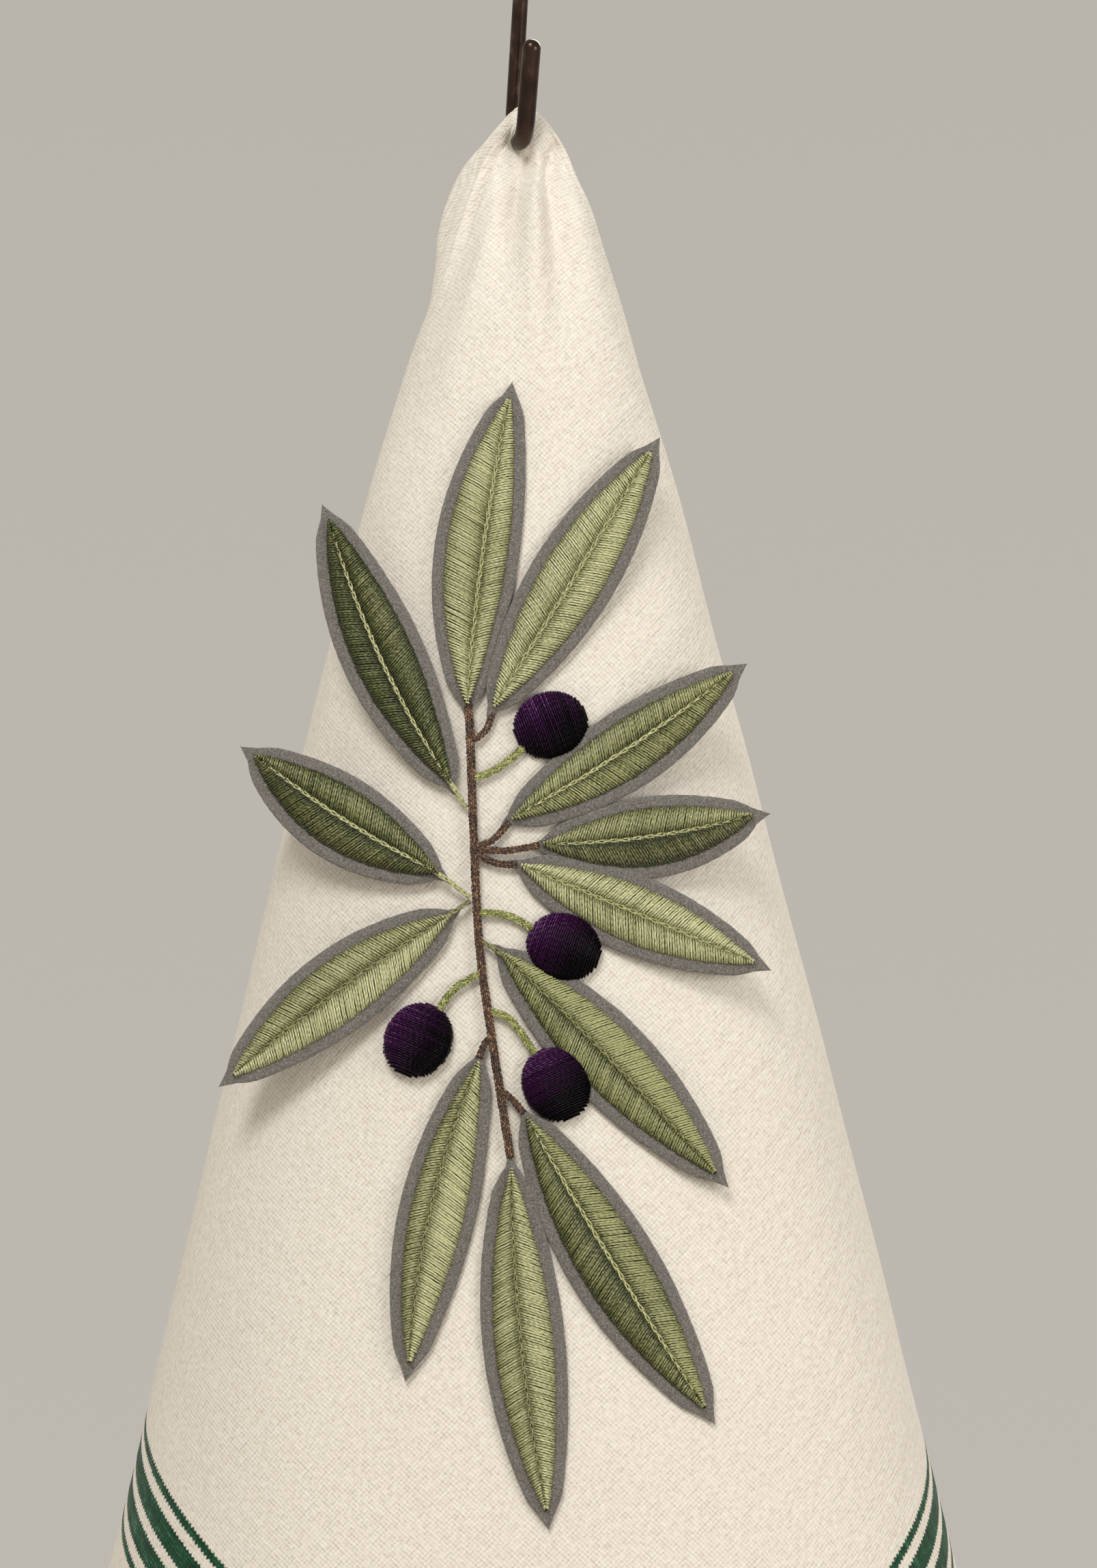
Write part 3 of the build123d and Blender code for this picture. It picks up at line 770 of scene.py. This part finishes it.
def painted_shade_pad(quads, number, base):
    """A padding under the stitches, closed underneath, coloured dark as painted shade in the gaps
    between the threads.
    """
    f = np.linspace(0.004, 0.996, 60)
    t = np.linspace(-1, 1, 17)
    half = np.where(t < 0, face_half(number, f, -1)[:, None], face_half(number, f, 1)[:, None])
    edge = bend(number, np.broadcast_to(f[:, None], half.shape), half * t * 0.95)
    top = np.broadcast_to(base + satin_height(np.abs(t)) - 0.34, half.shape)
    under = np.broadcast_to(base - 0.2, half.shape)
    pad = np.concatenate([np.concatenate([edge, top[..., None]], -1),
                          np.concatenate([edge, under[..., None]], -1)[:, ::-1]], axis=1)
    # painted shade: the dark tint makes the gaps between threads read as shadow
    quads.sweep(pad[None], f * leaf_frame(number)[3], -0.25)


def satin_leaf(number):
    """Threads laid side by side from the midrib out to both edges, two strands in each."""
    length = leaf_frame(number)[3]
    quads = Quads()
    base = leaf_base_height(number) + FELT
    painted_shade_pad(quads, number, base)
    steps = int(length / THREAD_PITCH)
    t = THREAD_PLACES
    for sign in (-1, 1):
        root = (np.arange(steps) + 0.5 + 0.02 * RNG.standard_normal(steps)) / steps
        root = np.clip(root, 0.002, 0.985)
        slant = THREAD_SLANT + 0.004 * RNG.standard_normal(steps)
        end = root.copy()                        # where a thread's slant meets the leaf's edge
        for _ in range(6):
            end = np.minimum(root + face_half(number, end, sign) / np.tan(slant) / length, 0.999)
        half = face_half(number, end, sign) + 0.09 * RNG.standard_normal(steps)
        start = bend(number, root, 0.0)
        stop = bend(number, end, sign * np.maximum(half, 0.2))
        way = stop - start
        flat = start[:, None] + way[:, None] * t[None, :, None]
        sideways = np.stack([-way[:, 1], way[:, 0]], -1)
        sideways /= np.linalg.norm(way, axis=1, keepdims=True) + 1e-9
        lift = base + satin_height(t)[None, :] + 0.022 * RNG.standard_normal((steps, 1))
        shade = SATIN_SHADE + 0.022 * RNG.standard_normal(steps)
        # painted light: each half of the leaf gets its own sheen and shadow
        shade += 0.03 * np.sin(root * 9 + number) + HALF_PAINTED_LIGHT[number][sign > 0] - 0.5
        # painted shade along each thread, following the satin's dome
        shade = shade[:, None] + PAINTED_SHADE_ALONG[None, :]
        for strand in (-STRAND_OFFSET, STRAND_OFFSET):
            sway = strand + 0.05 * RNG.standard_normal((steps, len(t))) * np.sin(np.pi * t)
            line = flat + sideways[:, None] * sway[..., None]
            rise = lift + 0.05 * RNG.standard_normal((steps, len(t))) * np.sin(np.pi * t)
            line = np.concatenate([line, rise[..., None]], -1)
            tint = shade + 0.05 * RNG.standard_normal((steps, 1))
            quads.tubes(line, STRAND_WIDE, STRAND_HIGH, tint, sides=5, taper=0.75)
    obj = quads.mesh(f"satin_leaf_{number:02d}")
    dark = number in DARK_LEAVES
    return finish_piece(obj, DARK_GREEN if dark else SAGE,
                        "thread_dark_green" if dark else "thread_sage",
                        f"leaf_satin_{number:02d}")


def resample(points, step):
    """Points step apart along a smooth line through (x, y, height) points."""
    p = np.asarray(points, float)
    if len(p) > 2:
        ghost = np.concatenate([[2 * p[0] - p[1]], p, [2 * p[-1] - p[-2]]])
        t = np.linspace(0, 1, 24, endpoint=False)[:, None]
        parts = []
        for a, b, c, d in zip(ghost, ghost[1:], ghost[2:], ghost[3:]):
            parts.append(0.5 * (2 * b + (c - a) * t + (2 * a - 5 * b + 4 * c - d) * t**2
                                + (3 * b - 3 * c + d - a) * t**3))
        p = np.concatenate([*parts, p[-1:]])
    along = np.concatenate([[0], np.cumsum(np.linalg.norm(np.diff(p, axis=0), axis=1))])
    at = np.linspace(0, along[-1], max(3, round(along[-1] / step) + 1))
    return np.stack([np.interp(at, along, p[:, k]) for k in range(3)], -1)


def along_line(line):
    """Distance along a line, and the directions across it in the plane of the applique."""
    along = np.concatenate([[0], np.cumsum(np.linalg.norm(np.diff(line, axis=0), axis=1))])
    tangent = np.gradient(line, axis=0)
    tangent /= np.linalg.norm(tangent, axis=1, keepdims=True)
    across = np.stack([tangent[:, 1], -tangent[:, 0], 0 * along], -1)
    return along, across


def plait(quads, line, width, radius, pitch, shades):
    """Plies that cross over in turn along a line."""
    along, across = along_line(line)
    wander = 0.05 * np.sin(along / 2.7) + 0.04 * np.sin(along / 1.1 + width)
    plies = []
    for k in range(len(shades)):
        a = 2 * np.pi * (along / pitch + k / len(shades))
        p = line + across * (np.sin(a) * (width / 2 - radius) + wander)[:, None]
        p[:, 2] += 0.2 * np.sin(2 * a + 0.4)
        plies.append(p)
    quads.tubes(np.stack(plies), radius, radius, shades, sides=8)


def stitched(quads, line, width, shade):
    """Columns of short overlapping stitches along a line, over a core coloured dark as painted shade
    between the stitches; each stitch has painted shade towards its ends, where it dives into the cloth.
    """
    along, across = along_line(line)
    length = min(STITCH_LENGTH, along[-1] * 0.4)
    columns, radius = STITCH_COLUMNS, STITCH_RADIUS
    # painted shade: the core's dark tint stands for the shadow between the stitches
    quads.tubes(line[None], width * 0.36, 0.62, [-0.2])
    t = np.linspace(0, 1, 5)
    for column in range(columns):
        offset = ((column + 0.5) / columns - 0.5) * (width - 2 * radius) * columns / (columns - 1)
        lean = 0.34 if column % 2 else -0.34
        late = 0.3 * length if column % 2 else 0.0
        count = max(2, round((along[-1] - length - late) / (length * 0.60)))
        first = np.linspace(late, along[-1] - length, count)
        first[1:-1] += 0.07 * RNG.standard_normal(count - 2)
        s = first[:, None] + t * length
        side = offset + lean * (t - 0.5) * length + 0.05 * RNG.standard_normal((count, 1))
        crown = 0.60 * math.sqrt(max(0.0, 1 - (2 * offset / width) ** 2))
        p = np.stack([np.interp(s, along, line[:, k]) for k in range(3)], -1)
        p += np.stack([np.interp(s, along, across[:, k]) for k in range(3)], -1) * side[..., None]
        p[..., 2] += crown - 0.30 + 0.16 * np.sin(np.pi * t)
        # painted shade: darker towards each stitch's ends
        tint = shade + 0.10 * RNG.standard_normal((count, 1)) - 0.22 * np.abs(2 * t - 1) ** 2
        quads.tubes(p, radius, radius * 0.9, tint)


def rib_shade(number):
    """The shade of a midrib's thread, 0 dark to 1 light."""
    if number in DARK_RIBS:
        return 0.36
    return 0.64 if number in DARK_LEAVES else 0.56


def leaf_rib(number):
    """The midrib's plait, which goes on as a stalk to the stem on leaves without a twig."""
    f = np.linspace(0.02, 0.95, 40)
    top = leaf_base_height(number) + FELT + RIB_LIFT
    line = np.concatenate([bend(number, f), np.full((len(f), 1), top)], -1)
    if number in PETIOLES:
        u, w = PETIOLES[number]
        root = np.array([[u, -w, 1.0], [(u + line[0, 0]) / 2, (-w + line[0, 1]) / 2, top - 0.1]])
        line = np.concatenate([root, line])
    quads = Quads()
    shade = rib_shade(number)
    plait(quads, resample(line, 0.45), RIB_WIDTH, RIB_THREAD, RIB_PITCH,
          [shade - 0.03, shade, shade + 0.03, shade])
    obj = quads.mesh(f"rib_leaf_{number:02d}")
    return finish_piece(obj, MIDRIB, "thread_midrib", f"leaf_midrib_{number:02d}")


# ---- stems and olives --------------------------------------------------------------------------
def braid(name, path, size, material, slot, node):
    """A raised line of stitching along (u, w) points."""
    width, height = size
    quads = Quads()
    stitched(quads, resample([(u, -w, height) for u, w in path], 0.3), width, STITCH_SHADE)
    return finish_piece(quads.mesh(name), material, slot, node)


def fruit(number):
    """A padded oval with satin stitches laid across its long axis."""
    (u, w), turn = OLIVES[number][:2]
    a, b = OLIVE_LENGTH / 2, OLIVE_WIDTH / 2
    c, s = math.cos(math.radians(turn)), math.sin(math.radians(turn))

    def place(x, y, z):
        return np.stack([u + x * c - y * s, -w + x * s + y * c, z], -1)

    def dome(x, y):
        inside = np.clip(1 - (x / a) ** 2 - (y / b) ** 2, 0, 1)
        return 0.25 + (OLIVE_HEIGHT + 0.5) * inside**0.52

    quads = Quads()
    ring = np.linspace(0.02, 0.985, 16)
    way = np.linspace(0, 2 * np.pi, 48, endpoint=False)
    x = a * ring[:, None] * np.cos(way)
    y = b * ring[:, None] * np.sin(way)
    pad = place(x, y, dome(x, y) - 0.18)
    quads.sweep(pad[None][:, ::-1], ring[::-1] * a, 0.1)
    count = int(OLIVE_LENGTH / OLIVE_PITCH)
    x = ((np.arange(count) + 0.5) / count * 2 - 1) * (a - 0.02)
    half = b * np.sqrt(1 - (x / a) ** 2) ** 0.95 + 0.08 * RNG.standard_normal(count)
    t = np.sin(np.linspace(-np.pi / 2, np.pi / 2, 17))
    y = half[:, None] * t
    x = x[:, None] + 0.05 * RNG.standard_normal((count, 1)) * t + 0 * y
    z = dome(x, np.clip(y, -b, b)) + 0.025 * RNG.standard_normal((count, 1))
    # lighter towards the upper left, where the light comes from
    lit = (y * c + x * s - (x * c - y * s)) / OLIVE_LENGTH
    shade = OLIVE_SHADE + OLIVE_LIT * lit + 0.05 * RNG.standard_normal((count, 1))
    quads.tubes(place(x, y, z), OLIVE_THREAD, OLIVE_THREAD, shade)
    obj = quads.mesh(f"fruit_{number:02d}")
    finish_piece(obj, PURPLE, "thread_purple", f"olive_{number:02d}")
    return obj


# ---- camera, light and floor --------------------------------------------------------------------
def soft_light(name, at, aim, size, watts, colour):
    """A round area light at one place, turned towards another."""
    lamp = bpy.data.lights.new(name, "AREA")
    lamp.shape, lamp.size, lamp.energy, lamp.color = "DISK", size, watts, colour
    obj = bpy.data.objects.new(name, lamp)
    bpy.context.scene.collection.objects.link(obj)
    obj.location = at
    direction = np.array(aim, float) - np.array(at, float)
    obj.rotation_mode = "QUATERNION"
    obj.rotation_quaternion = Vector(direction).to_track_quat("-Z", "Y")


def set_camera(scene):
    """A level view, straight at the towel's front."""
    camera = bpy.data.objects.new("camera", bpy.data.cameras.new("camera"))
    scene.collection.objects.link(camera)
    scene.camera = camera
    camera.data.sensor_fit, camera.data.sensor_width = "HORIZONTAL", SENSOR
    camera.data.lens = SENSOR * CAMERA_DISTANCE / SEEN_WIDTH
    camera.data.clip_end = 20
    camera.location = (CAMERA_X * MM, -CAMERA_DISTANCE * MM, (SEAT_Z - CAMERA_DROP) * MM)
    camera.rotation_euler = (math.pi / 2, 0, 0)
    scene.view_settings.view_transform = "Standard"


def set_lights():
    """The key from the upper left, a fill from the right and a light behind."""
    middle = (0, 0, -0.35)
    soft_light("key", (-0.42, -1.15, 1.00), middle, 0.75, 17, (1.0, 0.975, 0.94))
    soft_light("fill", (1.25, -1.1, -0.1), middle, 0.8, 8, (1.0, 0.965, 0.93))
    soft_light("rear", (0.4, 1.5, 0.7), middle, 1.0, 16, (1.0, 0.97, 0.94))


def set_world(scene):
    """Soft light from all round, a little stronger from below."""
    world = bpy.data.worlds.new("studio")
    world.use_nodes = True
    tree = world.node_tree
    background = tree.nodes["Background"]
    background.inputs["Strength"].default_value = 0.56
    place = tree.nodes.new("ShaderNodeTexCoord")
    parts = tree.nodes.new("ShaderNodeSeparateXYZ")
    shade = tree.nodes.new("ShaderNodeMapRange")
    shade.inputs["From Min"].default_value, shade.inputs["From Max"].default_value = -0.3, 0.3
    tone = tree.nodes.new("ShaderNodeValToRGB")
    tone.color_ramp.elements[0].color = (*linear(248, 243, 234), 1)
    tone.color_ramp.elements[1].color = (*linear(236, 229, 218), 1)
    tree.links.new(place.outputs["Generated"], parts.inputs[0])
    tree.links.new(parts.outputs["Z"], shade.inputs["Value"])
    tree.links.new(shade.outputs[0], tone.inputs[0])
    tree.links.new(tone.outputs[0], background.inputs["Color"])
    scene.world = world


def set_floor(scene):
    """A plain pale disc below the towel."""
    radius, level, corners = 2.5, -0.9, 96
    ring = [(radius * math.cos(a), radius * math.sin(a), level)
            for a in np.linspace(0, 2 * np.pi, corners + 1)[:-1]]
    data = bpy.data.meshes.new("floor")
    data.from_pydata(ring, [], [tuple(range(corners))])
    floor = bpy.data.objects.new("floor", data)
    scene.collection.objects.link(floor)
    s = Shader("floor_pale", 0.9)
    floor.data.materials.append(s.end(s.ramp(s.noise(3, 2), (0.3, linear(220, 212, 200)),
                                             (0.7, linear(226, 219, 208)))))


set_camera(bpy.context.scene)
set_lights()
set_world(bpy.context.scene)
set_floor(bpy.context.scene)

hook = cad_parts["s_hook"]
hook.data.materials.clear()
hook.data.materials.append(BRONZE)

towel()
for leaf in LEAVES:
    felt_leaf(leaf)
    satin_leaf(leaf)
    leaf_rib(leaf)
braid("stem_braid", STEM, STEM_SIZE, BROWN, "thread_brown", "main_stem")
for leaf, points in TWIGS.items():
    braid(f"twig_braid_{leaf:02d}", points, TWIG_SIZE, BROWN, "thread_brown",
          f"twig_leaf_{leaf:02d}")
for olive, (centre, _, root, middle) in OLIVES.items():
    end = np.array(middle) + (np.array(centre) - np.array(middle)) * STALK_END
    braid(f"stalk_braid_{olive:02d}", (root, middle, tuple(end)), STALK_SIZE, STALK,
          "thread_stalk", f"olive_stalk_{olive:02d}")
    fruit(olive)
